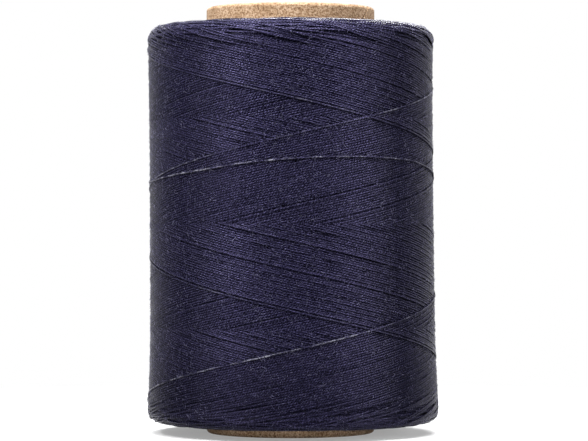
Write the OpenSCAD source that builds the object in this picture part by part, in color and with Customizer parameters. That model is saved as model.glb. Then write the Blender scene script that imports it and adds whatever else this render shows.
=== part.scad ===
// Cross-wound spool of sewing thread: a spiral-wound paper tube of five plies that
// carries a straight-sided package of thread with rounded shoulders and no flanges.
// Millimetres. +Z runs along the tube, Z = 0 is its lower rim, and -Y is the front.

/* [Paper tube] */
// Length of the tube
tube_length = 70; // [68:0.5:76]
// Diameter of the tube's bore
bore_d = 24; // [20:0.5:25]
// Thickness of one paper ply, of which the wall has five
ply_t = 0.37; // [0.3:0.01:0.4]
// Width of the paper strip that each ply is wound from
strip_w = 60; // [52:1:66]
// Gap left between a strip's butted edges
seam_gap = 0.4; // [0.3:0.05:0.6]
// Radius of the worn outer edge of each rim
rim_outer_round = 0.6; // [0.3:0.05:0.7]
// Radius of the burnished inner edge of each rim
rim_inner_round = 0.3; // [0.2:0.05:0.35]

/* [Thread package] */
// Length of tube that shows below the thread
foot_length = 1.6; // [1:0.1:2.5]
// Height of the wound thread along the tube
package_h = 65.5; // [60:0.5:66]
// Radius over the thread at the waist
waist_r = 23.3; // [22:0.1:25]
// How far the lower end swells beyond the waist
lower_swell = 0.5; // [0:0.1:1]
// How far the upper end swells beyond the waist
upper_swell = 0.25; // [0:0.05:0.8]
// Radius of the lower shoulder
lower_shoulder_r = 2.5; // [2:0.1:3.5]
// Radius of the upper shoulder
upper_shoulder_r = 2.6; // [2:0.1:3.5]
// How far each end face dips towards the tube
end_dip = 0.5; // [0:0.1:1]

/* [Outer winding] */
// Diameter of the thread
thread_d = 0.3; // [0.2:0.05:0.5]
// Passes of the thread from end to end, an even count
traverses = 12; // [8:2:12]
// Gap between two passes where one crosses over the other
crossing_gap = 0.44; // [0.41:0.01:0.6]
// Room under the lower passes, over what a chord of the round package takes
lay_clearance = 0.03; // [0.03:0.01:0.2]
// How far round its shoulder a pass turns back, in degrees
turn_back_angle = 38; // [25:1:42]

/* [Hidden] */

// Paper tube
ply_count = 5;
bore_r = bore_d / 2;
tube_r = bore_r + ply_count * ply_t;
rim_arc_steps = 6;
seam_slices = 36;
seam_overcut = 0.15;
// Heading of each ply's seam at the lower rim, so that no two seams lie over each other
seam_start = [20, 165, 310, 95, 37];
paper_light = "#d3b08f";
paper_dark = "#bf9973";
round_fn = 96;

// Outer winding: rings of six points, one every ring_step degrees round the spool
ring_sides = 6;
ring_step = 15;
rings_per_turn = 360 / ring_step;
chord_sag = waist_r * (1 - cos(ring_step / 2));
laid_height = thread_d / 2 + chord_sag + lay_clearance;
crossing_lift = thread_d + crossing_gap;
winding_depth = laid_height + crossing_lift + thread_d / 2;

// Thread package
package_bottom = foot_length;
package_top = foot_length + package_h;
core_waist_r = waist_r - winding_depth;
side_low = package_bottom + lower_shoulder_r;
side_high = package_top - upper_shoulder_r;
side_steps = 14;
shoulder_steps = 7;
lower_swell_power = 4;
upper_swell_power = 8;
package_color = "#2b2947";

// Passes of the outer winding
// Each pass falls short of two whole turns, so the next one starts a sixth of a turn on
rings_per_traverse = 2 * rings_per_turn - 2;
// Rings left off at both ends of the thread, which keeps its ends clear of a crossing
end_rings = 3;
first_ring = end_rings;
last_ring = traverses * rings_per_traverse - end_rings;
// Share of one step by which the ring at a turn-back is drawn in, to round the turn
turn_softening = 0.35;
turn_low = side_low - lower_shoulder_r * sin(turn_back_angle);
turn_high = side_high + upper_shoulder_r * sin(turn_back_angle);
climb_per_ring = (turn_high - turn_low) / rings_per_traverse;
winding_start_angle = 90;
winding_color = "#45426e";
// Points closer than this along the thread are neighbours, not two passes that meet
neighbour_points = 12;

// ---- Paper tube ----

// Quarter-circle of points about a centre, from one angle to another
function arc(centre_r, centre_z, radius, from, to, steps) = [
    for (i = [0 : steps])
        let (a = from + (to - from) * i / steps)
        [centre_r + radius * cos(a), centre_z + radius * sin(a)]
];

// Half-section of the whole tube wall, with its four rim edges rounded
tube_outline = concat(
    arc(bore_r + rim_inner_round, rim_inner_round, rim_inner_round, 180, 270, rim_arc_steps),
    arc(tube_r - rim_outer_round, rim_outer_round, rim_outer_round, 270, 360, rim_arc_steps),
    arc(tube_r - rim_outer_round, tube_length - rim_outer_round, rim_outer_round, 0, 90, rim_arc_steps),
    arc(bore_r + rim_inner_round, tube_length - rim_inner_round, rim_inner_round, 90, 180, rim_arc_steps)
);

module tube_wall() {
    rotate_extrude($fn = round_fn) polygon(tube_outline);
}

// The gap between the butted edges of one strip, wound at the strip's own helix angle
module spiral_seam(inner_r, start_angle) {
    turn_length = 2 * PI * (inner_r + ply_t / 2);
    helix_angle = asin(strip_w / turn_length);
    rise_per_turn = strip_w / cos(helix_angle);
    gap_round_tube = seam_gap / sin(helix_angle);
    seam_height = tube_length + 2 * seam_overcut;
    translate([0, 0, -seam_overcut])
        rotate([0, 0, start_angle])
            linear_extrude(height = seam_height, twist = -360 * seam_height / rise_per_turn,
                           slices = seam_slices)
                translate([inner_r - seam_overcut, -gap_round_tube / 2])
                    square([ply_t + 2 * seam_overcut, gap_round_tube]);
}

// One paper ply, counted from the bore: a closed cylinder but for its spiral seam
module paper_ply(index) {
    inner_r = bore_r + index * ply_t;
    difference() {
        intersection() {
            tube_wall();
            difference() {
                cylinder(h = tube_length, r = inner_r + ply_t, $fn = round_fn);
                translate([0, 0, -seam_overcut])
                    cylinder(h = tube_length + 2 * seam_overcut, r = inner_r, $fn = round_fn);
            }
        }
        spiral_seam(inner_r, seam_start[index]);
    }
}

module tube_inner_ply() {
    color(paper_dark) paper_ply(0);
}

module tube_second_ply() {
    color(paper_light) paper_ply(1);
}

module tube_middle_ply() {
    color(paper_dark) paper_ply(2);
}

module tube_fourth_ply() {
    color(paper_light) paper_ply(3);
}

module tube_outer_ply() {
    color(paper_light) paper_ply(4);
}

// ---- Thread package ----

// Radius of the package's side, under the outer winding: a waist that swells to both ends
function side_r(z) =
    let (share = max(0, min(1, (z - side_low) / (side_high - side_low))))
    core_waist_r
    + lower_swell * pow(1 - share, lower_swell_power)
    + upper_swell * pow(share, upper_swell_power);

lower_shoulder_centre = side_r(side_low) - lower_shoulder_r;
upper_shoulder_centre = side_r(side_high) - upper_shoulder_r;

package_side = [
    for (i = [1 : side_steps - 1])
        let (z = side_low + (side_high - side_low) * i / side_steps)
        [side_r(z), z]
];

package_outline = concat(
    [[tube_r, package_bottom + end_dip]],
    arc(lower_shoulder_centre, side_low, lower_shoulder_r, 270, 360, shoulder_steps),
    package_side,
    arc(upper_shoulder_centre, side_high, upper_shoulder_r, 0, 90, shoulder_steps),
    [[tube_r, package_top - end_dip]]
);

module thread_package() {
    color(package_color)
        rotate_extrude($fn = round_fn) polygon(package_outline);
}

// ---- Outer winding ----

// Angle of the package's surface at a height: 0 on the side, towards +-90 on a shoulder
function slope_at(z) =
    z > side_high ? asin(min(1, (z - side_high) / upper_shoulder_r)) :
    z < side_low ? -asin(min(1, (side_low - z) / lower_shoulder_r)) : 0;

function surface_r(z) =
    z > side_high ? upper_shoulder_centre + upper_shoulder_r * cos(slope_at(z)) :
    z < side_low ? lower_shoulder_centre + lower_shoulder_r * cos(slope_at(z)) : side_r(z);

// A point at a height above the package's surface, measured square to it
function above_surface(angle, z, height) =
    let (slope = slope_at(z), r = surface_r(z) + height * cos(slope))
    [r * cos(angle), r * sin(angle), z + height * sin(slope)];

// Rings since the last turn-back, and whether the pass climbs
function ring_in_pass(i) = i % rings_per_traverse;
function climbs(i) = floor(i / rings_per_traverse) % 2 == 0;

function ring_z(i) =
    let (along = ring_in_pass(i),
         drawn_in = along == 0 ? turn_softening : along)
    climbs(i) ? turn_low + drawn_in * climb_per_ring : turn_high - drawn_in * climb_per_ring;

// Climbing passes lie on the package, and the falling ones cross over them
function ring_height(i) =
    laid_height + crossing_lift * (ring_in_pass(i) == 0 ? 0.5 : climbs(i) ? 0 : 1);

function ring_angle(i) = winding_start_angle + i * ring_step;
function ring_centre(i) = above_surface(ring_angle(i), ring_z(i), ring_height(i));
function ring_foot(i) = above_surface(ring_angle(i), ring_z(i), 0);

// The thread's centre line: out of the package, along every pass and back in
thread_path = concat(
    [ring_foot(first_ring)],
    [for (i = [first_ring : last_ring]) ring_centre(i)],
    [ring_foot(last_ring)]
);

function unit(v) = v / norm(v);
function axis_point(p) = [0, 0, p[2]];

// Travel of the thread at a point of its path, halfway between its two neighbours
function travel(path, i) =
    let (before = i == 0 ? path[1] - path[0] : path[i] - path[i - 1],
         after = i == len(path) - 1 ? before : path[i + 1] - path[i])
    unit(unit(before) + unit(after));

// Side vector of a ring: square to the travel and level with the package's surface
function ring_side(path, i) =
    let (last = len(path) - 1,
         along_thread = i == 0 ? path[2] - path[1] : i == last ? path[last - 1] - path[last - 2]
                      : travel(path, i))
    unit(cross(along_thread, path[i] - axis_point(path[i])));

// Corners of one ring, stretched over a mitre so that the thread keeps its width
function ring_corners(path, i) =
    let (forward = travel(path, i),
         side = ring_side(path, i),
         up = unit(cross(side, forward)),
         straight = i == 0 ? forward : unit(path[i] - path[i - 1]),
         mitre = 1 / max(0.5, forward * straight))
    [for (k = [0 : ring_sides - 1])
        let (a = 360 * (k + 0.5) / ring_sides)
        path[i] + thread_d / 2 * (cos(a) * mitre * up + sin(a) * side)];

thread_points = [
    for (i = [0 : len(thread_path) - 1]) each ring_corners(thread_path, i)
];

// Two triangles for each side of each stretch, and a fan over each end
wall_faces = [
    for (i = [0 : len(thread_path) - 2], k = [0 : ring_sides - 1])
        let (a = i * ring_sides + k,
             b = i * ring_sides + (k + 1) % ring_sides)
        each [[a, b + ring_sides, b], [a, a + ring_sides, b + ring_sides]]
];
end_offset = (len(thread_path) - 1) * ring_sides;
end_faces = [
    for (k = [1 : ring_sides - 2])
        each [[0, k, k + 1], [end_offset, end_offset + k + 1, end_offset + k]]
];

// The laid thread's ring centres and the middles between them, for measuring
measured_points = [
    for (i = [1 : len(thread_path) - 3])
        each [thread_path[i], (thread_path[i] + thread_path[i + 1]) / 2]
];
least_gap_to_itself = min([
    for (i = [0 : len(measured_points) - 1])
        for (j = [i + neighbour_points : 1 : len(measured_points) - 1])
            norm(measured_points[i] - measured_points[j])
]) - thread_d;

// Least clearance of the thread's underside over the package
function clearance_at(p) =
    let (r = norm([p[0], p[1]]),
         centre_r = p[2] > side_high ? upper_shoulder_centre : lower_shoulder_centre,
         centre_z = p[2] > side_high ? side_high : side_low,
         shoulder_r = p[2] > side_high ? upper_shoulder_r : lower_shoulder_r)
    (p[2] > side_high || p[2] < side_low ? norm([r - centre_r, p[2] - centre_z]) - shoulder_r
                                        : r - side_r(p[2])) - thread_d / 2;
least_gap_to_package = min([for (p = measured_points) clearance_at(p)]);

module outer_winding() {
    echo(least_gap_to_itself = least_gap_to_itself, least_gap_to_package = least_gap_to_package);
    echo(loops = (last_ring - first_ring) / rings_per_turn);
    color(winding_color)
        polyhedron(points = thread_points, faces = concat(wall_faces, end_faces), convexity = 12);
}

tube_inner_ply();
tube_second_ply();
tube_middle_ply();
tube_fourth_ply();
tube_outer_ply();
thread_package();
outer_winding();
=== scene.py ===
"""Spool of thread: a cross-wound package of navy sewing thread on a kraft-paper tube.

Lengths are in millimetres until a mesh is made, and headings are in degrees from the
front (-Y) towards the right (+X). Materials, lamps and the camera are in metres. The thread
is laid pass by pass on a height map of the package, as a winding machine lays it, and each
pass then becomes a tube of real thread.
"""

import math

import bpy
import numpy as np
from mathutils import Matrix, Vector


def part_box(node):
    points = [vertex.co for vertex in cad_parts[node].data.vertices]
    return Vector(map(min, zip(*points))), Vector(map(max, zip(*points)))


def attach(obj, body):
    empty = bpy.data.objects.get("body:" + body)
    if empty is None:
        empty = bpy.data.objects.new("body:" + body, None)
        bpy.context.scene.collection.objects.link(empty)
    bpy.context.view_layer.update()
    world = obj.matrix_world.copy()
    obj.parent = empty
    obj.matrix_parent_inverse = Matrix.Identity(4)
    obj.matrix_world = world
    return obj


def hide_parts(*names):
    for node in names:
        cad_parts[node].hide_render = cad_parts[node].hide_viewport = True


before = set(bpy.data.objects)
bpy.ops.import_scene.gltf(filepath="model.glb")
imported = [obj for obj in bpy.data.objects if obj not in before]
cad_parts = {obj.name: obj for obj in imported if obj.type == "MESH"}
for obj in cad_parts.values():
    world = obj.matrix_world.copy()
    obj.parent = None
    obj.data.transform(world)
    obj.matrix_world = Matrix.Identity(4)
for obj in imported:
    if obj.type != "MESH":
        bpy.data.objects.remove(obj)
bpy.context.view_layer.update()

MM = 0.001
BODY = "root"


def box_mm(node):
    low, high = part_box(node)
    return np.array(low) / MM, np.array(high) / MM


# ---------------------------------------------------------------- sizes from the frame
TUBE_RADIUS = box_mm("tube_outer_ply")[1][0]
PLY = TUBE_RADIUS - box_mm("tube_fourth_ply")[1][0]
BORE_RADIUS = box_mm("tube_inner_ply")[1][0] - PLY
PACKAGE_BOTTOM, PACKAGE_TOP = (corner[2] for corner in box_mm("thread_package"))

# ---------------------------------------------------------------- the thread's own sizes
THREAD_HALF_WIDTH = 0.195
THREAD_HALF_HEIGHT = 0.13
TWIST_LENGTH = 1.6  # one turn of the thread's plies
THREAD_PLIES = 3

# The finished package: its side swells towards both ends, and its shoulders are round
WAIST_RADIUS = 23.37
FOOT_SWELL = 0.42
FOOT_SWELL_REACH = 9
LOWER_FLARE = 0.25  # a slow widening, all the way down to the foot
HEAD_SWELL = 0.30
HEAD_SWELL_POWER = 10
SHOULDER_LOW = 2.2
SHOULDER_HIGH = 2.6
END_DIP = 0.5  # of the flat ends, towards the tube
LAID_DEPTH = 0.80  # how far the drum lies under the finished surface
DRUM_OVERLAP = 0.05  # of the drum with the tube
SIDE_POINTS = 60  # of the drum's rough outline
SHOULDER_POINTS = 16
TURN_SMOOTHING = 4  # rounds in which the outline's turns are softened
DRUM_EVERY = 4  # cells from one ring of the drum's mesh to the next
DRUM_SIDES = 240

# The wound thread sits a little askew on its tube, further right towards the foot
LEAN = 0.42
LEAN_START = 60  # level at which the lean starts
LEAN_REACH = 52  # and how far below that it is full

# The pattern of the winding: how far a pass climbs in a turn, and where passes turn back
CLIMB_PER_TURN = 33.7
TURNS_PER_PASS = 2
TURN_BACK_LOW = 0.7
TURN_BACK_HIGH = TURN_BACK_LOW + TURNS_PER_PASS * CLIMB_PER_TURN
PASS_STEP = 0.38  # along the tube, from one climbing pass to the next
GAPS_CLIMBING = (29, 39, 61, 74)  # passes before the last that crowd aside, leaving a gap
GAPS_FALLING = (1, 17, 29, 52, 70)
GAP_WIDTH = 0.15
LAST_TURN = 209.4  # heading at which the last climbing pass reaches the head
DOUBLE_PASSES = 130
TURN_ROUNDING = (28.0, 72.0)  # degrees over which a turn-back is rounded, each way

# How unevenly the passes lie
CROWD_JITTER = 0.008
START_JITTER = 0.03  # of a turn-back's heading, as a share of the shift from pass to pass
EXACT_TURNS = 3  # the last turn-backs, which keep their headings
SHORT_WANDER = (60, 0.006)  # points from one random value to the next, and their size
LONG_WANDER = (300, 0.012)
END_WANDER = (50, 0.04)

# How a pass settles on the ones below it, and how the package firms up
DRAPE_RADIUS = 5.0  # how tightly a thread follows the bumps under it
REST_SHARES = (-0.4, -0.2, 0.0, 0.2, 0.4)  # of the half width, where a thread bears
COVER_SHARES = np.linspace(-0.95, 0.95, 7)  # and where it covers what lies below
SINK = 0.8  # share of a thread's half height that it keeps above what it presses on
PRESS_REACH = 0.55  # breadth of the swells that the package's firmness levels
RELIEF = 0.40  # share of its own relief that a thread keeps once it is pressed
RELIEF_AT_ENDS = 0.24
RELIEF_LIMIT = 0.22  # and the most that any thread stands above or below its neighbours
END_REACH = (3, 11)  # from a turn-back, over which the relief grows to its full share
CREST_CELLS = 3  # how near the crests lie that shade a deeper thread
LINT_BED = 0.7  # share of a half height at which lint lies on the thread

PASS_POINTS = 1441  # of a pass's route, before it is sampled evenly
SAMPLE = 0.12  # along a pass
DRAPE_STEP = 3  # samples from one point of the draped line to the next
CELL = 0.12  # of the height map
SAMPLES_MOST = 10_000  # more than the samples of any pass
RING_EVERY = 10  # samples from one ring of a thread's mesh to the next
END_RING_EVERY = 5  # on the strands laid last, which stand proud
RING_SIDES = 6
END_PASSES = 2  # passes laid last: they share a mesh, and catch the most lint
BAKE_MARGIN = 0.08  # free share of a pass's row in the bake, on either side

rng = np.random.default_rng(20260)


def unit(vectors):
    return vectors / np.linalg.norm(vectors, axis=-1, keepdims=True)


# ---------------------------------------------------------------- the package's profile
def arc_points(centre_r, centre_z, radius, start, stop):
    """Points of a round shoulder, between two angles in degrees."""
    a = np.radians(np.linspace(start, stop, SHOULDER_POINTS))
    return np.c_[centre_r + radius * np.cos(a), centre_z + radius * np.sin(a)]


def side_radius(z):
    """Finished radius of the package's side: a waist that swells towards both ends."""
    share = np.clip((z - PACKAGE_BOTTOM) / (PACKAGE_TOP - PACKAGE_BOTTOM), 0, 1)
    foot = FOOT_SWELL * np.exp(-((z - PACKAGE_BOTTOM) / FOOT_SWELL_REACH) ** 2)
    return (WAIST_RADIUS + LOWER_FLARE * (1 - share) ** 2 + foot
            + HEAD_SWELL * share ** HEAD_SWELL_POWER)


def drum_outline(low, high):
    """Corner points of the drum, from the tube at the foot round to the tube on top."""
    z = np.linspace(low, high, SIDE_POINTS)
    side = np.c_[side_radius(z) - LAID_DEPTH, z]
    foot = arc_points(side[0, 0] - SHOULDER_LOW + LAID_DEPTH, low,
                      SHOULDER_LOW - LAID_DEPTH, -90, 0)
    head = arc_points(side[-1, 0] - SHOULDER_HIGH + LAID_DEPTH, high,
                      SHOULDER_HIGH - LAID_DEPTH, 0, 90)
    foot_end = [[TUBE_RADIUS - DRUM_OVERLAP, foot[0, 1] + END_DIP]]
    head_end = [[TUBE_RADIUS - DRUM_OVERLAP, head[-1, 1] - END_DIP]]
    return np.vstack([foot_end, foot[:-1], side, head[1:], head_end])


def drum_profile():
    """The drum under the laid thread: distances along its outline, points and normals.

    Distance is made to read as height on the side.
    """
    low = PACKAGE_BOTTOM + SHOULDER_LOW
    high = PACKAGE_TOP - SHOULDER_HIGH
    rough = drum_outline(low, high)
    run = np.r_[0, np.cumsum(np.linalg.norm(np.diff(rough, axis=0), axis=1))]
    fine = np.arange(0, run[-1], CELL)
    points = np.c_[np.interp(fine, run, rough[:, 0]), np.interp(fine, run, rough[:, 1])]
    along = np.gradient(points, axis=0)
    for _ in range(TURN_SMOOTHING):
        along[1:-1] = (along[:-2] + 2 * along[1:-1] + along[2:]) / 4
    along = unit(along)
    normal = np.c_[along[:, 1], -along[:, 0]]
    middle = np.argmin(abs(points[:, 1] - (low + high) / 2))
    distance = fine - fine[middle] + points[middle, 1]
    return distance, points, normal


DISTANCE, PROFILE, NORMAL = drum_profile()
CELLS_ROUND = int(round(2 * math.pi * WAIST_RADIUS / CELL))


def radius_at(distance):
    """Radius of the drum at a distance along its outline."""
    return np.interp(distance, DISTANCE, PROFILE[:, 0])


def lean(z):
    """How far to the right the wound thread sits at a level."""
    return LEAN * np.clip((LEAN_START - z) / LEAN_REACH, 0, 1)


def in_space(heading, distance, height):
    """Points in the row frame, and the surface's normals there."""
    a = np.radians(heading)
    out_x, out_y = np.sin(a), -np.cos(a)
    normal_r = np.interp(distance, DISTANCE, NORMAL[:, 0])
    normal_z = np.interp(distance, DISTANCE, NORMAL[:, 1])
    radius = radius_at(distance) + height * normal_r
    level = np.interp(distance, DISTANCE, PROFILE[:, 1]) + height * normal_z
    points = np.stack([radius * out_x + lean(level), radius * out_y, level], -1)
    normals = np.stack([normal_r * out_x, normal_r * out_y, normal_z], -1)
    return points, normals


# ---------------------------------------------------------------- laying the thread
height_map = np.zeros((CELLS_ROUND, len(DISTANCE)))  # of the laid thread above the drum
owner_map = np.full(height_map.shape, -1, np.int64)  # pass and sample that lie on top
laid = []  # every pass: headings, distances, heights and the run along it


def taut(run, least):
    """Heights of a thread that rests on heights it may not go below, and bends between them."""
    bend = run ** 2 / (2 * DRAPE_RADIUS)
    target = least - bend
    hull = []
    xs, ys = run.tolist(), target.tolist()
    for i in range(len(xs)):
        while len(hull) > 1:
            a, b = hull[-2], hull[-1]
            if (ys[b] - ys[a]) * (xs[i] - xs[b]) <= (ys[i] - ys[b]) * (xs[b] - xs[a]):
                hull.pop()
            else:
                break
        hull.append(i)
    return np.interp(run, run[hull], target[hull]) + bend


def resample(heading, distance):
    """The same route at even steps along the surface."""
    r = radius_at(distance)
    mid_r = (r[1:] + r[:-1]) / 2
    step = np.hypot(np.radians(np.diff(heading)) * mid_r, np.diff(distance))
    run = np.r_[0, np.cumsum(step)]
    even = np.linspace(0, run[-1], int(run[-1] / SAMPLE) + 2)
    return np.interp(even, run, heading), np.interp(even, run, distance), even


def cells(heading, distance):
    """Cells of the height map at places on the package."""
    i = np.round(heading / 360 * CELLS_ROUND).astype(int) % CELLS_ROUND
    j = np.round((distance - DISTANCE[0]) / CELL).astype(int).clip(0, len(DISTANCE) - 1)
    return i, j


def footprint(heading, distance, share):
    """Cells under a line that runs beside a pass, at a share of its half width."""
    r = radius_at(distance)
    across = np.gradient(np.radians(heading)) * r
    along = np.gradient(distance)
    length = np.hypot(across, along)
    offset = share * THREAD_HALF_WIDTH
    return cells(heading - np.degrees(along / length / r) * offset,
                 distance + across / length * offset)


def crown(share):
    """How far a thread's round back keeps others off, at a share of its half width."""
    return SINK * THREAD_HALF_HEIGHT * math.sqrt(1 - share ** 2)


def raise_map(heading, distance, height):
    """Raises the height map under a pass, and notes the pass there as the one on top."""
    flat, top, sample = [], [], []
    for share in COVER_SHARES:
        i, j = footprint(heading, distance, share)
        flat.append(i * height_map.shape[1] + j)
        top.append(height + crown(share))
        sample.append(np.arange(len(height)))
    flat, top, sample = np.concatenate(flat), np.concatenate(top), np.concatenate(sample)
    higher = top > height_map.ravel()[flat]
    flat, top, sample = flat[higher], top[higher], sample[higher]
    order = np.argsort(top, kind="stable")
    height_map.ravel()[flat[order]] = top[order]
    owner_map.ravel()[flat[order]] = len(laid) * SAMPLES_MOST + sample[order]


def lay(heading, distance, start_height=None):
    """Lays one pass on what lies there already, and gives the height at which it ends."""
    heading, distance, run = resample(heading, distance)
    rest = np.full(len(run), -np.inf)
    for share in REST_SHARES:
        rest = np.maximum(rest, height_map[footprint(heading, distance, share)] + crown(share))
    if start_height is not None:
        rest[0] = start_height
    coarse = np.r_[np.arange(0, len(run) - 1, DRAPE_STEP), len(run) - 1]
    height = np.interp(run, run[coarse], taut(run[coarse], rest[coarse]))
    raise_map(heading, distance, height)
    laid.append(dict(heading=heading, distance=distance, height=height, run=run))
    return height[-1]


def wander(count, scale, size):
    """Smooth random numbers: one new value every so many points."""
    knots = rng.normal(0, size, int(count / scale) + 4)
    x = np.linspace(0, len(knots) - 3.001, count)  # stops short of the last knots
    i = x.astype(int)
    t = x - i
    t = t * t * (3 - 2 * t)
    return knots[i] * (1 - t) + knots[i + 1] * t


def rounded(away, reach):
    """Distance from a turn-back in degrees, with the corner rounded over its reach."""
    away = abs(away)
    return np.where(away < reach, (away ** 2 + reach ** 2) / (2 * reach), away)


def crowding(to_come):
    """How far a pass lies aside, towards the older ones of its own direction."""
    before_last = to_come // 2
    if to_come % 2 == 0:
        return -GAP_WIDTH * (before_last in GAPS_CLIMBING) + rng.normal(0, CROWD_JITTER)
    return GAP_WIDTH * (before_last in GAPS_FALLING) + rng.normal(0, CROWD_JITTER)


def turn_backs():
    """Headings and levels of all turn-backs, how far each is rounded, and how many follow."""
    shift = PASS_STEP / (CLIMB_PER_TURN / 360)
    turns = 2 * DOUBLE_PASSES
    to_come = np.arange(turns)[::-1]
    start = LAST_TURN - 360 * TURNS_PER_PASS * to_come + shift * np.ceil(to_come / 2)
    start = start + rng.normal(0, START_JITTER * shift, turns) * (to_come >= EXACT_TURNS)
    reach = rng.uniform(*TURN_ROUNDING, turns)
    apex = np.where(to_come % 2 == 1, TURN_BACK_LOW, TURN_BACK_HIGH)
    return start, apex, reach, to_come


def lay_package():
    """All passes, the oldest first; each turn-back is rounded, and none is quite alike."""
    start, apex, reach, to_come = turn_backs()
    bulge = np.sin(math.pi * np.linspace(0, 1, PASS_POINTS))
    height = None
    for k in range(len(start) - 1):
        span = np.linspace(start[k], start[k + 1], PASS_POINTS)
        slope = (apex[k + 1] - apex[k]) / (start[k + 1] - start[k])
        first = apex[k] + slope * rounded(span - start[k], reach[k])
        second = apex[k + 1] - slope * rounded(span - start[k + 1], reach[k + 1])
        level = np.where(np.arange(PASS_POINTS) < PASS_POINTS // 2, first, second)
        level = level + wander(len(span), *SHORT_WANDER) + wander(len(span), *LONG_WANDER)
        level = level + crowding(to_come[k + 1]) * bulge
        height = lay(span, level, height)
    return height


# The finishing end: from the last turn-back down the back, level across the front, and
# tucked in behind. Each point is a heading, which goes on from the last pass's, and a level.
END_ROUTE = (
    (LAST_TURN, 66.0), (219, 64.4), (231, 57.5), (243, 49.8), (256, 43.6), (268, 41.2),
    (285, 41.3), (300, 41.9), (318, 42.8), (338, 43.9), (357, 44.6), (372, 45.0),
    (392, 45.1), (417, 44.6), (438, 43.1), (470, 39.9), (510, 36.2), (540, 33.8),
)
END_STEP = 0.5  # degrees from one point of the smoothed route to the next
END_SMOOTHING = 14  # steps each way over which the route is smoothed
TUCK_DEPTH = 0.7
TUCK_LENGTH = 7.0
TURN_EASE = 3.0  # length over which the end leaves the last pass's height for its own

# How far the last three strands are rubbed pale, from 0 to 1, at headings along each
RUBBED_BEFORE = (
    (-1230, 0.0), (-1120, 0.05), (-1095, 0.12), (-1050, 0.18), (-1030, 0.05), (-815, 0.10),
    (-800, 0.30), (-755, 0.20), (-735, 0.05), (-510, 0.1),
)
RUBBED_LAST_PASS = (
    (-520, 0.2), (-445, 0.95), (-360, 0.80), (-325, 0.65), (-300, 0.2), (-100, 0.3),
    (-60, 0.45), (-25, 0.12), (25, 0.12), (45, 0.5), (80, 0.65), (110, 0.2), (220, 0.3),
)
RUBBED_END = (
    (209, 0.3), (270, 0.6), (285, 1.0), (322, 0.95), (340, 0.65), (392, 0.55), (420, 0.3),
    (440, 0.35), (540, 0.2),
)
# Each of the three: how far it stands proud of the pressed package, and its rubbed stretches
LAST_STRANDS = ((0.11, RUBBED_BEFORE), (0.08, RUBBED_LAST_PASS), (0.10, RUBBED_END))


def lay_finishing_end(start_height):
    """Lays the thread's end along a listed route, from where the last pass turns back."""
    knots = np.array(END_ROUTE, float)
    fine = np.arange(knots[0, 0], knots[-1, 0], END_STEP)
    level = np.interp(fine, knots[:, 0], knots[:, 1])
    kernel = np.hanning(2 * END_SMOOTHING + 1)
    kernel /= kernel.sum()
    level = np.convolve(np.pad(level, END_SMOOTHING, "edge"), kernel, "valid")
    level = level + wander(len(fine), *END_WANDER)
    level[0] = laid[-1]["distance"][-1]
    lay(fine, level, start_height)


def blurred(values, sigma_cells):
    """A soft blur of a map: round the package it wraps, and past the ends lies nothing."""
    count = values.shape[0]
    wave = np.fft.rfftfreq(count)
    kernel = np.exp(-2 * (math.pi * sigma_cells * wave) ** 2)
    round_blur = np.fft.irfft(np.fft.rfft(values, axis=0) * kernel[:, None], count, axis=0)
    reach = int(3 * sigma_cells)
    weights = np.exp(-0.5 * (np.arange(-reach, reach + 1) / sigma_cells) ** 2)
    weights /= weights.sum()
    padded = np.pad(round_blur, ((0, 0), (reach, reach)))
    made = np.zeros_like(values)
    for k, w in enumerate(weights):
        made += w * padded[:, k:k + values.shape[1]]
    return made


def pressed(own, share):
    """Height above the drum of a thread that keeps a share of its own relief."""
    return (RELIEF_LIMIT * np.tanh(share * own / RELIEF_LIMIT)
            + LAID_DEPTH - THREAD_HALF_HEIGHT)


def highest_near(heights):
    """The highest value within a few cells of each one."""
    for _ in range(CREST_CELLS):
        for axis in (0, 1):
            beside = np.maximum(np.roll(heights, 1, axis), np.roll(heights, -1, axis))
            heights = np.maximum(heights, beside)
    return heights


def press_to_shape():
    """Levels the broad swells: what stays proud is each thread's own relief.

    Notes on each pass how deep it lies between its neighbours, and gives the surface that
    lint lies on.
    """
    covered = (owner_map >= 0).astype(float)
    mean = blurred(height_map * covered, PRESS_REACH / CELL)
    mean /= np.maximum(blurred(covered, PRESS_REACH / CELL), 1e-3)
    from_end = np.minimum(DISTANCE - TURN_BACK_LOW, TURN_BACK_HIGH - DISTANCE)
    keep = np.interp(from_end, END_REACH, (RELIEF_AT_ENDS, RELIEF))
    crest = highest_near(height_map - mean)
    for p in laid:
        i, j = cells(p["heading"], p["distance"])
        own = p["height"] - mean[i, j]
        p["deep"] = (crest[i, j] - own - SINK * THREAD_HALF_HEIGHT) * (keep[j] / RELIEF) ** 2
        p["height"] = pressed(own, keep[j])
    return pressed(height_map - mean, keep) + LINT_BED * THREAD_HALF_HEIGHT


def finish_last_strands():
    """The strands laid last stand proud and are rubbed pale; the very end is tucked in."""
    for p, (lift, rubbed) in zip(laid[-len(LAST_STRANDS):], LAST_STRANDS):
        heading, much = np.array(rubbed, float).T
        p["rub"] = np.interp(p["heading"], heading, much)
        p["height"] = p["height"] + lift
    end = laid[-1]
    left = end["run"][-1] - end["run"]
    end["height"] = end["height"] - TUCK_DEPTH * (1 - np.clip(left / TUCK_LENGTH, 0, 1)) ** 2
    from_turn = np.clip(end["run"] / TURN_EASE, 0, 1)
    end["height"] += (1 - from_turn) * (laid[-2]["height"][-1] - end["height"][0])


lay_finishing_end(lay_package())
surface = press_to_shape()
finish_last_strands()


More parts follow.
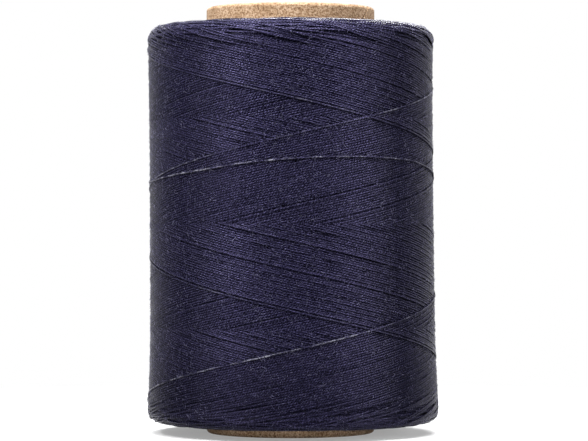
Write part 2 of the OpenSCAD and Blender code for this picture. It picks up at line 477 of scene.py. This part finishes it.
# ---------------------------------------------------------------- the flat ends
ARC_SPACING = 0.30  # from one ring of turn-backs to the next
ARC_LENGTH = 9.0
ARC_LENGTHS = (0.7, 1.4)  # shortest and longest, as shares of that
ARC_STEP = 0.42  # from one to the next in a ring, as a share of the usual length
ARC_STAGGER = 37  # degrees that a ring is turned against one that lies a millimetre away
ARC_DEPTH = 0.22  # of an arc's middle, under the finished surface
ARC_DIVE = 0.30  # and how much deeper its two ends lie
ARC_BOW = 0.12
ARC_TILT = 0.12  # usual random tilt and shift out of the ring
ARC_SHIFT = 0.07
ARC_LIFT = 0.07  # largest random change of height
ARC_POINTS = 13
ARC_RING_EVERY = 2


def end_arcs(lowest, highest, into):
    """Short turn-backs of the inner layers, which show side by side on a flat end.

    Each lies along the ring it was wound on, and dives under its neighbours at both ends.
    """
    arcs = []
    x = np.linspace(-1, 1, ARC_POINTS)
    for distance in np.arange(lowest, highest, ARC_SPACING):
        r = float(radius_at(distance))
        count = int(round(2 * math.pi * r / (ARC_LENGTH * ARC_STEP)))
        for k in range(count):
            middle = 360 * (k + rng.uniform(-0.5, 0.5)) / count + distance * ARC_STAGGER
            half = math.degrees(ARC_LENGTH / r) / 2 * rng.uniform(*ARC_LENGTHS)
            aside = rng.normal(0, ARC_TILT) * x + rng.normal(0, ARC_SHIFT)
            dive = ARC_DEPTH + ARC_DIVE * x ** 2
            arcs.append(dict(
                heading=middle + half * x,
                distance=distance + aside - into * ARC_BOW * x ** 2,
                height=LAID_DEPTH - dive + rng.uniform(-ARC_LIFT, ARC_LIFT),
                run=(x + 1) * math.radians(half) * r))
    return arcs


# ---------------------------------------------------------------- meshes
def quad_mesh(name, vertices, quads, look, maps, point_values=None):
    """A mesh of four-sided faces only, made fast, with a UV value for every corner."""
    mesh = bpy.data.meshes.new(name)
    mesh.vertices.add(len(vertices))
    mesh.vertices.foreach_set("co", (vertices * MM).astype(np.float32).ravel())
    mesh.loops.add(quads.size)
    mesh.loops.foreach_set("vertex_index", quads.astype(np.int32).ravel())
    mesh.polygons.add(len(quads))
    mesh.polygons.foreach_set("loop_start", np.arange(0, quads.size, 4, dtype=np.int32))
    mesh.polygons.foreach_set("use_smooth", np.ones(len(quads), bool))
    for layer_name, values in maps.items():
        layer = mesh.uv_layers.new(name=layer_name)
        layer.uv.foreach_set("vector", values.astype(np.float32).ravel())
    for value_name, value in (point_values or {}).items():
        value = np.concatenate(value).astype(np.float32)
        mesh.attributes.new(value_name, "FLOAT", "POINT").data.foreach_set("value", value)
    mesh.materials.append(look)
    mesh.update(calc_edges=True)
    mesh.validate()
    piece = bpy.data.objects.new(name, mesh)
    bpy.context.scene.collection.objects.link(piece)
    return piece


def ring_quads(rings, sides):
    """Faces of a tube, as numbers of the corners of its rings."""
    i = np.arange(rings - 1)[:, None] * sides
    k = np.arange(sides)[None, :]
    after = (k + 1) % sides
    return np.stack([i + k, i + after, i + after + sides, i + k + sides], -1).reshape(-1, 4)


def corner_uv(u0, u1, v0, v1):
    """UV of each face's corners, in the order in which ring_quads gives the corners."""
    u0, u1, v0, v1 = np.broadcast_arrays(u0, u1, v0, v1)
    u = np.stack([u0, u0, u1, u1], -1)
    v = np.stack([v0, v1, v1, v0], -1)
    return np.stack([u, v], -1).reshape(-1, 2)


def tube_uv(u, low, high):
    """UV of a thread's faces: u from ring to ring, v round it from low to high."""
    v = low + (high - low) * np.arange(RING_SIDES + 1) / RING_SIDES
    return corner_uv(u[:-1, None], u[1:, None], v[None, :-1], v[None, 1:])


def stretches(seen, rings):
    """First and last of each run of rings that shows, a ring wider at both ends."""
    keep = seen[rings]
    keep = keep | np.r_[keep[1:], False] | np.r_[False, keep[:-1]]
    edges = np.flatnonzero(np.diff(np.r_[0, keep.astype(int), 0]))
    return [rings[a:b] for a, b in zip(edges[::2], edges[1::2]) if b - a > 1]


def thread_rings(points, normals, across):
    """Corners of the rings round a stretch of thread, which is wider than it is high."""
    angles = 2 * math.pi * (np.arange(RING_SIDES) + 0.5) / RING_SIDES
    ring = (points[:, None]
            + np.cos(angles)[None, :, None] * normals[:, None] * THREAD_HALF_HEIGHT
            + np.sin(angles)[None, :, None] * across[:, None] * THREAD_HALF_WIDTH)
    return ring.reshape(-1, 3)


def thread_mesh(name, passes, seen, ring_every, look):
    """One mesh of every stretch of these passes that shows."""
    vertices, quads, bake, twist = [], [], [], []
    values = {"rub": [], "deep": []}
    count = 0
    rows = len(passes)
    for row, p in enumerate(passes):
        bake_row = (row + BAKE_MARGIN) / rows, (row + 1 - BAKE_MARGIN) / rows
        total = len(p["run"])
        rings = np.r_[np.arange(0, total - 1 - ring_every // 2, ring_every), total - 1]
        points, normals = in_space(p["heading"], p["distance"], p["height"])
        across = unit(np.cross(unit(np.gradient(points, axis=0)), normals))
        phase = rng.uniform(0, 1)
        for at in stretches(seen[row], rings):
            vertices.append(thread_rings(points[at], normals[at], across[at]))
            quads.append(ring_quads(len(at), RING_SIDES) + count)
            for value_name, value in values.items():
                own = p[value_name][at] if value_name in p else np.zeros(len(at))
                value.append(np.repeat(own, RING_SIDES))
            twist.append(tube_uv(p["run"][at] / TWIST_LENGTH + phase, row, row + 1))
            bake.append(tube_uv(p["run"][at] / (p["run"][-1] + 1), *bake_row))
            count += len(at) * RING_SIDES
    maps = {"OFBake": np.concatenate(bake), "Twist": np.concatenate(twist)}
    return quad_mesh(name, np.concatenate(vertices), np.concatenate(quads), look, maps, values)


def find_seen():
    """Which samples of each pass show on the finished package, with a margin."""
    shown = np.unique(owner_map[owner_map >= 0])
    numbers, samples = shown // SAMPLES_MOST, shown % SAMPLES_MOST
    seen = []
    for number, p in enumerate(laid):
        mask = np.zeros(len(p["run"]), bool)
        mask[samples[numbers == number]] = True
        seen.append(np.convolve(mask, np.ones(2 * RING_EVERY + 1), "same") > 0)
    return seen


def revolve(name, profile, steps, look):
    """A closed ring-shaped surface from a profile of (radius, level) points."""
    count = len(profile)
    a = np.linspace(0, 2 * math.pi, steps, endpoint=False)
    x = profile[None, :, 0] * np.sin(a)[:, None]
    y = -profile[None, :, 0] * np.cos(a)[:, None]
    z = np.broadcast_to(profile[None, :, 1], x.shape)
    vertices = np.stack([x + lean(z), y, z], -1).reshape(-1, 3)
    i = np.arange(steps)[:, None]
    j = np.arange(count)[None, :]
    next_i, next_j = (i + 1) % steps, (j + 1) % count
    quads = np.stack([i * count + j, next_i * count + j, next_i * count + next_j,
                      i * count + next_j], -1).reshape(-1, 4)
    v, u = j / count, i / steps
    uv = corner_uv(v, v + 1 / count, u, u + 1 / steps)[:, ::-1]  # u runs round the drum
    return quad_mesh(name, vertices, quads, look, {"OFBake": uv})


# ---------------------------------------------------------------- lint
LINT_LEVELS = (0.4, 68.3)  # lowest and highest, as distances along the profile
LINT_BESIDE = 0.10  # how far lint strays from the strands laid last
LINT_SPREAD = 0.5  # of the lengths, about the usual one
LINT_LENGTHS = (0.12, 1.8)
LINT_CURL = 0.8  # usual turn of a hair from root to tip, in radians
LINT_RISE = (0.02, 0.16)  # how far a hair may stand off
LINT_RISE_SHARES = (0.2, 1)  # and the share of it that it does
LINT_ROOT_DEPTH = 0.03  # how deep a hair starts under the surface
LINT_ARCH_START = 0.1  # share of its arch that a hair leaves out at its root
LINT_RADIUS = (0.010, 0.022)
LINT_ROOT_SHARE = 1.1  # share of that radius at a hair's root
LINT_TAPER = 0.6  # and how much less at its tip
LINT_SIDES = 3
LINT_CELL = 0.9  # share of its cell in the bake that a hair fills


def lint_spots(scattered, on_last):
    """Where fibres stand off: all over, and thickest along the two strands laid last."""
    heading = rng.uniform(0, 360, scattered)
    distance = rng.uniform(*LINT_LEVELS, scattered)
    for p in laid[-END_PASSES:]:
        at = rng.integers(0, len(p["run"]), on_last)
        heading = np.r_[heading, p["heading"][at]]
        distance = np.r_[distance, p["distance"][at] + rng.normal(0, LINT_BESIDE, on_last)]
    return heading, distance


def lint_routes(spots, usual_length, steps):
    """Short curved hairs in every direction: their points, surface normals and radii."""
    heading, distance = spots
    count = len(heading)
    length = (usual_length * rng.lognormal(0, LINT_SPREAD, count)).clip(*LINT_LENGTHS)
    way = rng.uniform(0, 2 * math.pi, count)
    curl = rng.normal(0, LINT_CURL, count)
    rise = rng.uniform(*LINT_RISE, count) * rng.uniform(*LINT_RISE_SHARES, count)
    radius = rng.uniform(*LINT_RADIUS, count)
    t = np.linspace(0, 1, steps)[None, :]
    turn = way[:, None] + curl[:, None] * t
    move = length[:, None] / (steps - 1)
    east = np.cumsum(np.cos(turn) * move, axis=1)
    north = np.cumsum(np.sin(turn) * move, axis=1)
    r = radius_at(distance)[:, None]
    headings = heading[:, None] + np.degrees(east / r)
    distances = (distance[:, None] + north).clip(DISTANCE[0], DISTANCE[-1])
    top = surface[cells(headings, distances)].max(axis=1, keepdims=True)
    arch = np.sin(math.pi * (LINT_ARCH_START + (1 - LINT_ARCH_START) * t))
    heights = top - LINT_ROOT_DEPTH + rise[:, None] * arch
    points, normals = in_space(headings, distances, heights)
    return points, normals, radius[:, None] * (LINT_ROOT_SHARE - LINT_TAPER * t)


def lint_uv(count, steps):
    """UV of the hairs' faces: each hair has a square cell of its own."""
    columns = int(math.ceil(math.sqrt(count)))
    cell_u = (np.arange(count) % columns)[:, None, None] / columns
    cell_v = (np.arange(count) // columns)[:, None, None] / columns
    u = cell_u + LINT_CELL * np.arange(steps - 1)[None, :, None] / (steps - 1) / columns
    v = cell_v + LINT_CELL * np.arange(LINT_SIDES)[None, None, :] / LINT_SIDES / columns
    return corner_uv(u, u + LINT_CELL / (steps - 1) / columns,
                     v, v + LINT_CELL / LINT_SIDES / columns)


def lint_mesh(name, spots, usual_length, steps, look):
    """Loose fibres that stand off the thread, each a thin tube that tapers to its tip."""
    points, normals, radius = lint_routes(spots, usual_length, steps)
    along = unit(np.gradient(points, axis=1))
    across = unit(np.cross(along, normals))
    up = np.cross(across, along)
    a = 2 * math.pi * np.arange(LINT_SIDES) / LINT_SIDES
    ring = (points[:, :, None, :] + radius[:, :, None, None] * (
        np.cos(a)[None, None, :, None] * up[:, :, None, :]
        + np.sin(a)[None, None, :, None] * across[:, :, None, :]))
    count = len(points)
    first = (np.arange(count) * steps * LINT_SIDES)[:, None, None]
    quads = (first + ring_quads(steps, LINT_SIDES)).reshape(-1, 4)
    return quad_mesh(name, ring.reshape(-1, 3), quads, look, {"OFBake": lint_uv(count, steps)})


# ---------------------------------------------------------------- materials
class Graph:
    """Adds nodes to a material or to the world: most calls give the new node's output."""

    def __init__(self, tree):
        self.nodes, self.links = tree.nodes, tree.links

    def put(self, socket, value):
        """Links a socket to another node's output, or sets it to a number or a colour."""
        if isinstance(value, bpy.types.NodeSocket):
            self.links.new(value, socket)
        elif socket.type == "RGBA":
            socket.default_value = (*value, 1)
        else:
            socket.default_value = value

    def fill(self, owner, sockets):
        for name, value in sockets.items():
            self.put(owner.inputs[name], value)

    def add(self, kind, *values, **settings):
        """A new node: values go to its first sockets, settings to what has their name."""
        made = self.nodes.new("ShaderNode" + kind)
        for key, value in settings.items():
            if key in made.inputs.keys():
                self.put(made.inputs[key], value)
            else:
                setattr(made, key, value)
        for socket, value in zip(made.inputs, values):
            self.put(socket, value)
        return made

    def calc(self, operation, *values):
        return self.add("Math", *values, operation=operation).outputs[0]

    def mix(self, factor, first, second, blend="MIX"):
        made = self.add("Mix", factor, data_type="RGBA", blend_type=blend)
        self.put(made.inputs[6], first)  # the node's sockets for colours
        self.put(made.inputs[7], second)
        return made.outputs[2]

    def times(self, colour, *others):
        for other in others:
            colour = self.mix(1.0, colour, other, "MULTIPLY")
        return colour

    def ramp(self, value, *stops):
        """A colour ramp: each stop is a place and a colour, or a place and a grey."""
        made = self.add("ValToRGB", value)
        elements = made.color_ramp.elements
        while len(elements) < len(stops):
            elements.new(0.5)
        for element, (place, colour) in zip(elements, stops):
            element.position = place
            grey = not isinstance(colour, tuple)
            element.color = (colour, colour, colour, 1) if grey else (*colour, 1)
        return made.outputs[0]

    def noise(self, place, scale=1.0, detail=2.0, roughness=0.5):
        return self.add("TexNoise", Vector=place, Scale=scale, Detail=detail,
                        Roughness=roughness).outputs["Fac"]

    def stretched(self, place, scale):
        return self.add("Mapping", Vector=place, Scale=scale).outputs[0]

    def length(self, vector):
        return self.add("VectorMath", vector, operation="LENGTH").outputs["Value"]

    def split(self, vector):
        return self.add("SeparateXYZ", Vector=vector).outputs

    def attribute(self, name):
        return self.add("Attribute", attribute_name=name).outputs["Fac"]

    def place(self):
        return self.add("TexCoord").outputs["Object"]

    def bump(self, height, strength, distance):
        return self.add("Bump", Height=height, Strength=strength, Distance=distance).outputs[0]


def material(name):
    made = bpy.data.materials.new(name)
    made.use_nodes = True
    return made, Graph(made.node_tree), made.node_tree.nodes["Principled BSDF"]


# Thread: its fibres from dark to pale, the fuzz on them, and where it is rubbed pale
THREAD_COLOURS = ((0.0003, 0.0002, 0.0015), (0.0030, 0.0025, 0.0115), (0.022, 0.0195, 0.060))
THREAD_FUZZ = (0.071, 0.0645, 0.144)
THREAD_RUBBED = (0.46, 0.46, 0.54)
THREAD_GLOSS = ((0.04, 0.05), (0.10, 0.66), (0.175, 0.66), (0.32, 0.03), (0.44, 0.04),
                (0.70, 0.105))  # by how far the surface turns away from the viewer
USUAL_GLOSS = 0.2  # where a viewer can't read the gloss's own nodes
FOOT_SHADE_HEIGHT = 20.0  # height in mm below which painted shade darkens the thread and lowers its gloss
FIBRES = (7.0, 9.0, 1.0)  # cells of the noise in a turn of the twist, and round the thread
DASHES = (0.7, 1.5, 1.0)  # the same for the rubbed dashes
BEADS = (4.2, 2.5, 1.0)  # and for the beads in them
FIBRE_RELIEF = 0.7  # how high the fibres stand, against the plies


def ply_height(graph, along, around):
    """From 0 in the groove between two plies to 1 on the back of a ply."""
    spiral = graph.calc("ADD", along, around)
    angle = graph.calc("MULTIPLY", spiral, math.pi * THREAD_PLIES)
    return graph.calc("ABSOLUTE", graph.calc("SINE", angle))


def fibre_colour(graph, fibres, place, around):
    """The fibres' colour, with each strand a shade apart and each patch a tint apart."""
    dark, mid, pale = THREAD_COLOURS
    strand = graph.add("TexWhiteNoise", noise_dimensions="1D", W=graph.calc("FLOOR", around))
    shade = graph.ramp(strand.outputs["Value"], (0.0, (0.94, 0.94, 0.95)),
                       (1.0, (1.06, 1.06, 1.05)))
    patches = graph.noise(place, scale=70.0, detail=2.0)
    tint = graph.ramp(patches, (0.35, (1.04, 1.03, 0.90)), (0.65, (0.96, 0.95, 1.12)))
    return graph.times(graph.ramp(fibres, (0.40, dark), (0.50, mid), (0.62, pale)), shade, tint)


def painted_relief_shade(graph, from_top, ply, place):
    """Painted shade: darkens a strand's flanks, the grooves between its plies, and the foot."""
    flank_shade = graph.ramp(from_top, (0.07, 1.0), (0.15, (0.40, 0.40, 0.42)),
                       (0.23, (0.04, 0.04, 0.05)))
    # painted shade in the grooves between the plies
    groove = graph.ramp(ply, (0.12, (0.20, 0.20, 0.22)), (0.65, 1.0))
    # painted shade towards the foot: the thread darker and less glossy between about 2 and 16
    # mm up
    from_foot = graph.calc("DIVIDE", graph.split(place)["Z"], FOOT_SHADE_HEIGHT * MM)
    foot_shade = graph.ramp(from_foot, (0.10, 1.0), (0.24, 0.67), (0.45, 0.74), (0.80, 1.0))
    return graph.times(flank_shade, groove, foot_shade)


def rubbed_share(graph, twist, from_top, pit_shade):
    """How pale the thread is rubbed: in dashes of small beads along a strand's back."""
    dashes = graph.noise(graph.stretched(twist, DASHES), detail=5.0, roughness=0.72)
    beads = graph.noise(graph.stretched(twist, BEADS), detail=1.0, roughness=0.6)
    share = graph.attribute("rub")
    # the painted shade in the fibres' pits also breaks up the pale dashes
    for part in (graph.ramp(dashes, (0.46, 0.0), (0.60, 1.0)),
                 graph.ramp(from_top, (0.08, 1.0), (0.17, 0.0)),
                 graph.ramp(beads, (0.43, 0.18), (0.57, 1.0)), pit_shade):
        share = graph.calc("MULTIPLY", share, part)
    return share


def thread_material():
    """Spun and plied thread: twist grooves, a fibrous face, and each strand a shade apart."""
    made, graph, shader = material("navy_thread")
    place = graph.place()
    twist = graph.add("UVMap", uv_map="Twist").outputs[0]
    split = graph.split(twist)
    along, around = split["X"], split["Y"]
    from_top = graph.calc("PINGPONG", graph.calc("ADD", around, 0.5 / RING_SIDES), 0.5)
    ply = ply_height(graph, along, around)
    fibres = graph.noise(graph.stretched(twist, FIBRES), detail=4.0, roughness=0.75)
    lint = graph.noise(place, scale=7200.0, detail=2.0, roughness=0.6)
    # painted shade in the small pits between fibres; the same noise gives the pale fuzz
    pit_shade = graph.ramp(lint, (0.40, (0.22, 0.22, 0.26)), (0.51, 1.0))
    # proud: painted shade on a strand's flanks, in its ply grooves and near the foot
    proud = painted_relief_shade(graph, from_top, ply, place)
    # painted shade on thread that lies deep between its neighbours
    deep_shade = graph.ramp(graph.attribute("deep"), (0.16, 1.0), (0.46, (0.34, 0.34, 0.36)))
    # shadow: all the painted shade, which darkens both the colour and the gloss
    shadow = graph.times(proud, deep_shade, pit_shade)
    colour = graph.times(fibre_colour(graph, fibres, place, around), shadow)
    fuzzy = graph.ramp(lint, (0.46, 0.0), (0.66, 1.0))
    # the pale fuzz is darkened by the same painted shade
    colour = graph.mix(fuzzy, colour, graph.times(proud, THREAD_FUZZ))
    colour = graph.mix(rubbed_share(graph, twist, from_top, pit_shade), colour, THREAD_RUBBED)
    facing = graph.add("LayerWeight", Blend=0.5).outputs["Facing"]
    relief = graph.calc("MULTIPLY_ADD", fibres, FIBRE_RELIEF, ply)
    shader.inputs["Specular IOR Level"].default_value = USUAL_GLOSS
    graph.fill(shader, {
        "Base Color": colour,
        "Normal": graph.bump(relief, strength=1.0, distance=0.00005),
        "Roughness": 0.23,
        "Sheen Weight": 0.062,
        "Sheen Roughness": 0.30,
        "Sheen Tint": (0.56, 0.54, 0.92),
        "Specular IOR Level": graph.times(graph.ramp(facing, *THREAD_GLOSS), shadow),
        "Specular Tint": (0.52, 0.46, 1.0),
    })
    return made


def drum_material():
    """The thread below the outer turns: dark and matt."""
    made, graph, shader = material("inner_thread")
    noise = graph.noise(graph.place(), scale=900.0, detail=3.0)
    colour = graph.ramp(noise, (0.3, (0.010, 0.009, 0.024)), (0.7, (0.024, 0.022, 0.050)))
    graph.fill(shader, {"Base Color": colour, "Roughness": 0.8})
    return made


def lint_material():
    """Single fibres, from the thread's own blue to pale grey."""
    made, graph, shader = material("thread_lint")
    noise = graph.noise(graph.place(), scale=300.0, detail=2.0)
    colour = graph.ramp(noise, (0.3, (0.05, 0.045, 0.11)), (0.7, (0.25, 0.24, 0.37)))
    graph.fill(shader, {"Base Color": colour, "Roughness": 0.7, "Specular IOR Level": 0.3,
                        "Normal": graph.bump(noise, strength=0.4, distance=0.00001)})
    return made


# Paper: three shades of its pulp, from dark to pale, and its specks and glue
WRAP_COLOURS = ((0.18, 0.099, 0.050), (0.37, 0.243, 0.146), (0.575, 0.432, 0.306),
                (0.11, 0.052, 0.022))
PLY_COLOURS = ((0.22, 0.14, 0.08), (0.38, 0.27, 0.17), (0.55, 0.42, 0.30),
               (0.13, 0.075, 0.038))
GLUE_WAVER = 0.10  # how far in mm a glue line strays, from one side to the other
RIM_FLATNESS = 0.8  # how level a face is, from 0 to 1, to be part of a rim


def rim_lines(graph, place):
    """Dark glue lines between the plies, on the tube's two rims only."""
    across = graph.add("VectorMath", place, (1 / MM, 1 / MM, 0), operation="MULTIPLY")
    from_axis = graph.length(across.outputs[0])
    waver = graph.noise(place, scale=500.0, detail=1.0)
    shaken = graph.calc("MULTIPLY_ADD", waver, GLUE_WAVER, from_axis)
    from_bore = graph.calc("SUBTRACT", shaken, BORE_RADIUS + GLUE_WAVER / 2)
    near = graph.calc("PINGPONG", graph.calc("DIVIDE", from_bore, PLY), 0.5)
    up = graph.split(graph.add("TexCoord").outputs["Normal"])["Z"]
    flat = graph.calc("GREATER_THAN", graph.calc("ABSOLUTE", up), RIM_FLATNESS)
    return graph.calc("MULTIPLY", graph.ramp(near, (0.06, 1.0), (0.15, 0.0)), flat)


def paper_material(name, dark, mid, pale, speckle):
    """Kraft paper: a mottled pulp, dark specks, a rough face, and glue lines on the rims."""
    made, graph, shader = material(name)
    place = graph.place()
    pulp = graph.noise(place, scale=3300.0, detail=3.0, roughness=0.7)
    blotches = graph.noise(place, scale=260.0, detail=2.0)
    specks = graph.noise(place, scale=2200.0, detail=2.0)
    stain = graph.ramp(blotches, (0.35, (0.80, 0.76, 0.70)), (0.65, 1.08))
    colour = graph.times(graph.ramp(pulp, (0.36, dark), (0.50, mid), (0.64, pale)), stain)
    colour = graph.mix(graph.ramp(specks, (0.62, 0.0), (0.70, 1.0)), colour, speckle)
    colour = graph.mix(rim_lines(graph, place), colour, speckle)
    graph.fill(shader, {"Base Color": colour, "Roughness": 0.85, "Specular IOR Level": 0.2,
                        "Normal": graph.bump(pulp, strength=0.7, distance=0.00006)})
    return made


# ---------------------------------------------------------------- pieces
GROUPS = 4  # meshes that the passes are shared out among, the oldest first
FIRST_TURN = 0.15  # from the tube to the nearest turn on a flat end
FOOT_TURNS = (DISTANCE[0] + FIRST_TURN, 3.6)  # where they start and stop along the profile
HEAD_TURNS = (65.0, DISTANCE[-1] - FIRST_TURN)


def thread_groups():
    """Names of the meshes of laid thread, the passes in each, and how close its rings are."""
    inner = len(laid) - END_PASSES
    edges = np.linspace(0, inner, GROUPS + 1).astype(int)
    groups = [(f"winding_passes_{g + 1}", slice(edges[g], edges[g + 1]), RING_EVERY)
              for g in range(GROUPS)]
    return groups + [("finishing_end", slice(inner, None), END_RING_EVERY)]


def dress(node, look):
    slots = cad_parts[node].data.materials
    slots.clear()
    slots.append(look)


thread_look = thread_material()
seen = find_seen()
for name, chosen, ring_every in thread_groups():
    piece = thread_mesh(name, laid[chosen], seen[chosen], ring_every, thread_look)
    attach(piece, BODY)
    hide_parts("outer_winding")

for name, reach, into in (("foot_turns", FOOT_TURNS, 1), ("head_turns", HEAD_TURNS, -1)):
    arcs = end_arcs(*reach, into)
    everywhere = [np.ones(ARC_POINTS, bool)] * len(arcs)
    piece = thread_mesh(name, arcs, everywhere, ARC_RING_EVERY, thread_look)
    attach(piece, BODY)
    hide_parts("thread_package")

lint_look = lint_material()
for name, spots, usual_length, steps in (
        ("loose_fibres", lint_spots(scattered=9300, on_last=500), 0.32, 4),
        ("short_fibres", lint_spots(scattered=15000, on_last=200), 0.20, 3)):
    piece = lint_mesh(name, spots, usual_length, steps, lint_look)
    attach(piece, BODY)

drum = revolve("wound_thread_body", PROFILE[::DRUM_EVERY], DRUM_SIDES, drum_material())
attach(drum, BODY)
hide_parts("thread_package")

paper_inner = paper_material("kraft_plies", *PLY_COLOURS)
for name in ("tube_inner_ply", "tube_second_ply", "tube_middle_ply", "tube_fourth_ply"):
    dress(name, paper_inner)
dress("tube_outer_ply", paper_material("kraft_wrap", *WRAP_COLOURS))

# ---------------------------------------------------------------- the floor
FLOOR_REACH = 1200  # from the axis to each edge
FLOOR_SEEN = (0.86, 0.86, 0.86)
FLOOR_LIT = (0.10, 0.10, 0.10)  # the floor's colour for the light that it throws back
FADE_START = -0.04  # metres from the axis, so the floor is a little faded at the spool
FADE_STOP = 0.14  # and where it is plain white


def direct_rays(graph):
    """1 where a ray shows the background itself: to the camera, in gloss or through glass."""
    ray = graph.add("LightPath").outputs
    direct = graph.calc("MAXIMUM", ray["Is Camera Ray"], ray["Is Glossy Ray"])
    return graph.calc("MAXIMUM", direct, ray["Is Transmission Ray"])


def floor_material():
    """Pale and matt, with the spool's shadow near it, and plain white further off."""
    made, graph, shader = material("pale_floor")
    fade = graph.add("MapRange", Value=graph.length(graph.place()))
    graph.fill(fade, {"From Min": FADE_START, "From Max": FADE_STOP})
    direct = direct_rays(graph)
    graph.fill(shader, {"Base Color": graph.mix(direct, FLOOR_LIT, FLOOR_SEEN),
                        "Roughness": 0.9})
    clear = graph.calc("MULTIPLY", fade.outputs[0], direct)
    white = graph.add("Emission", Strength=1.0)
    mix = graph.add("MixShader", clear, shader.outputs[0], white.outputs[0])
    graph.put(graph.nodes["Material Output"].inputs["Surface"], mix.outputs[0])
    return made


floor_corners = FLOOR_REACH * np.array([(-1, -1, 0), (1, -1, 0), (1, 1, 0), (-1, 1, 0)])
floor = quad_mesh("floor", floor_corners, np.array([(0, 1, 2, 3)]), floor_material(), {})


# ---------------------------------------------------------------- light
ROOM_COLOUR = (0.92, 0.94, 1.0)
ROOM_LIGHT = 0.155


def lamp(name, place, aim, size, power, spread=180, height=None):
    """A rectangular lamp, square unless it is given a height of its own."""
    light = bpy.data.lights.new(name, "AREA")
    light.shape = "RECTANGLE"
    light.size = size
    light.size_y = height or size
    light.spread = math.radians(spread)
    light.energy = power
    made = bpy.data.objects.new(name, light)
    made.location = place
    made.rotation_euler = (Vector(aim) - Vector(place)).to_track_quat("-Z", "Y").to_euler()
    bpy.context.scene.collection.objects.link(made)


def studio_world():
    """An even pale room, which is white where it is seen."""
    world = bpy.data.worlds.new("studio")
    world.use_nodes = True
    graph = Graph(world.node_tree)
    room = graph.nodes["Background"]
    graph.fill(room, {"Color": ROOM_COLOUR, "Strength": ROOM_LIGHT})
    white = graph.add("Background", Color=(1, 1, 1))
    mix = graph.add("MixShader", direct_rays(graph), room.outputs[0], white.outputs[0])
    graph.put(graph.nodes["World Output"].inputs["Surface"], mix.outputs[0])
    return world


lamp("key", (-0.22, -0.21, 0.34), (0, 0, 0.085), size=0.11, power=0.127, spread=36)
lamp("fill", (0.60, -0.44, 0.22), (0, 0, 0.080), size=0.22, power=0.044, spread=24)
lamp("side", (0.60, 0.14, 0.22), (0, 0, 0.060), size=0.22, power=0.036, spread=24)
lamp("back", (0.05, 0.34, 0.30), (0, 0, 0.060), size=0.16, power=0.115, spread=36)
lamp("foot_strip", (0, -0.25, 0.0015), (0, 0, 0.0015), size=0.10, height=0.002, power=0.0007,
     spread=3)
lamp("top", (0.0, -0.05, 0.38), (0, 0, 0.060), size=0.36, power=4.0)
bpy.context.scene.world = studio_world()

# ---------------------------------------------------------------- camera
PIXELS_WIDE = 588
AXIS_PIXEL_X = 290.5  # where the spool's axis stands in the picture
PIXELS_PER_MM = 6.055  # at the axis
CAMERA_DISTANCE = 0.4745
CAMERA_LEVEL = 0.03494
SENSOR = 36.0


def add_camera():
    """A level camera in front of the spool."""
    data = bpy.data.cameras.new("photo_camera")
    data.sensor_width = SENSOR
    focal_pixels = PIXELS_PER_MM / MM * CAMERA_DISTANCE
    data.lens = focal_pixels * SENSOR / PIXELS_WIDE
    data.shift_x = (PIXELS_WIDE / 2 - AXIS_PIXEL_X) / PIXELS_WIDE
    data.clip_start = 0.01
    made = bpy.data.objects.new("photo_camera", data)
    made.location = (0, -CAMERA_DISTANCE, CAMERA_LEVEL)
    made.rotation_euler = (math.radians(90), 0, 0)
    bpy.context.scene.collection.objects.link(made)
    return made


bpy.context.scene.camera = add_camera()
bpy.context.scene.view_settings.view_transform = "Standard"
